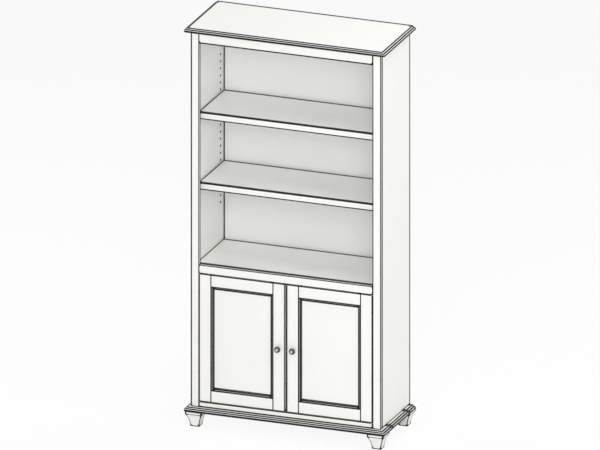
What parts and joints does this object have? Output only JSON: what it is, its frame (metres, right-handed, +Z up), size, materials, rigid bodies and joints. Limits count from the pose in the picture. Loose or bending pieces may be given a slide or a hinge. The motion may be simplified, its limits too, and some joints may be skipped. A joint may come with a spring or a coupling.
{
  "type": "bookcase with cabinet doors",
  "caption": "Tall bookcase with open bays over a two-door cabinet, moulded top and base, and square flared feet. Doors swing and the loose shelves lift off their pins.",
  "frame": {"origin": "on the floor, under the middle of the overall box", "axes": "+Z up, front faces -Y, +X to the right as seen from the front"},
  "size_m": [0.9144, 0.4, 1.797],
  "materials": {
    "paint": "white satin paint",
    "back": "white satin paint on a thin panel",
    "hardware": "satin nickel plate",
    "catch": "moulded, matt"
  },
  "bodies": {
    "case": {"back_base_rail": "paint", "back_left_foot": "paint", "back_panel": "back", "back_right_foot": "paint", "bottom_rail": "paint", "cabinet_floor": "paint", "cabinet_shelf_back_left_pin": "hardware", "cabinet_shelf_back_right_pin": "hardware", "cabinet_shelf_front_left_pin": "hardware", "cabinet_shelf_front_right_pin": "hardware", "double_catch": "catch", "fixed_shelf": "paint", "front_base_rail": "paint", "front_left_foot": "paint", "front_right_foot": "paint", "left_base_rail": "paint", "left_lower_frame_leaf": "hardware", "left_side_panel": "paint", "left_stile": "paint", "left_upper_frame_leaf": "hardware", "lower_shelf_back_left_pin": "hardware", "lower_shelf_back_right_pin": "hardware", "lower_shelf_front_left_pin": "hardware", "lower_shelf_front_right_pin": "hardware", "mid_rail": "paint", "right_base_rail": "paint", "right_lower_frame_leaf": "hardware", "right_side_panel": "paint", "right_stile": "paint", "right_upper_frame_leaf": "hardware", "sub_top": "paint", "top_panel": "paint", "top_rail": "paint", "upper_shelf_back_left_pin": "hardware", "upper_shelf_back_right_pin": "hardware", "upper_shelf_front_left_pin": "hardware", "upper_shelf_front_right_pin": "hardware"},
    "left_door": {"left_door_bottom_rail": "paint", "left_door_hinge_stile": "paint", "left_door_meeting_stile": "paint", "left_door_panel": "paint", "left_door_top_rail": "paint", "left_knob": "hardware", "left_lower_door_leaf": "hardware", "left_strike": "hardware", "left_upper_door_leaf": "hardware"},
    "right_door": {"right_door_bottom_rail": "paint", "right_door_hinge_stile": "paint", "right_door_meeting_stile": "paint", "right_door_panel": "paint", "right_door_top_rail": "paint", "right_knob": "hardware", "right_lower_door_leaf": "hardware", "right_strike": "hardware", "right_upper_door_leaf": "hardware"},
    "upper_shelf": {"upper_shelf_board": "paint", "upper_shelf_nosing": "paint"},
    "lower_shelf": {"lower_shelf_board": "paint", "lower_shelf_nosing": "paint"},
    "cabinet_shelf": {"cabinet_shelf": "paint"}
  },
  "joints": [
    {"name": "left_door_hinge", "type": "hinge", "parent": "case", "child": "left_door", "pos_m": [-0.3933, -0.17813, 0.40323], "axis": [0, 0, -1], "range_deg": [0, 180]},
    {"name": "right_door_hinge", "type": "hinge", "parent": "case", "child": "right_door", "pos_m": [0.3933, -0.17813, 0.40323], "axis": [0, 0, 1], "range_deg": [0, 180]},
    {"name": "upper_shelf_lift", "type": "slide", "parent": "case", "child": "upper_shelf", "axis": [0, 0, 1], "range_m": [0, 0.15875]},
    {"name": "lower_shelf_lift", "type": "slide", "parent": "case", "child": "lower_shelf", "axis": [0, 0, 1], "range_m": [0, 0.15875]},
    {"name": "cabinet_shelf_lift", "type": "slide", "parent": "case", "child": "cabinet_shelf", "axis": [0, 0, 1], "range_m": [0, 0.15875]}
  ]
}
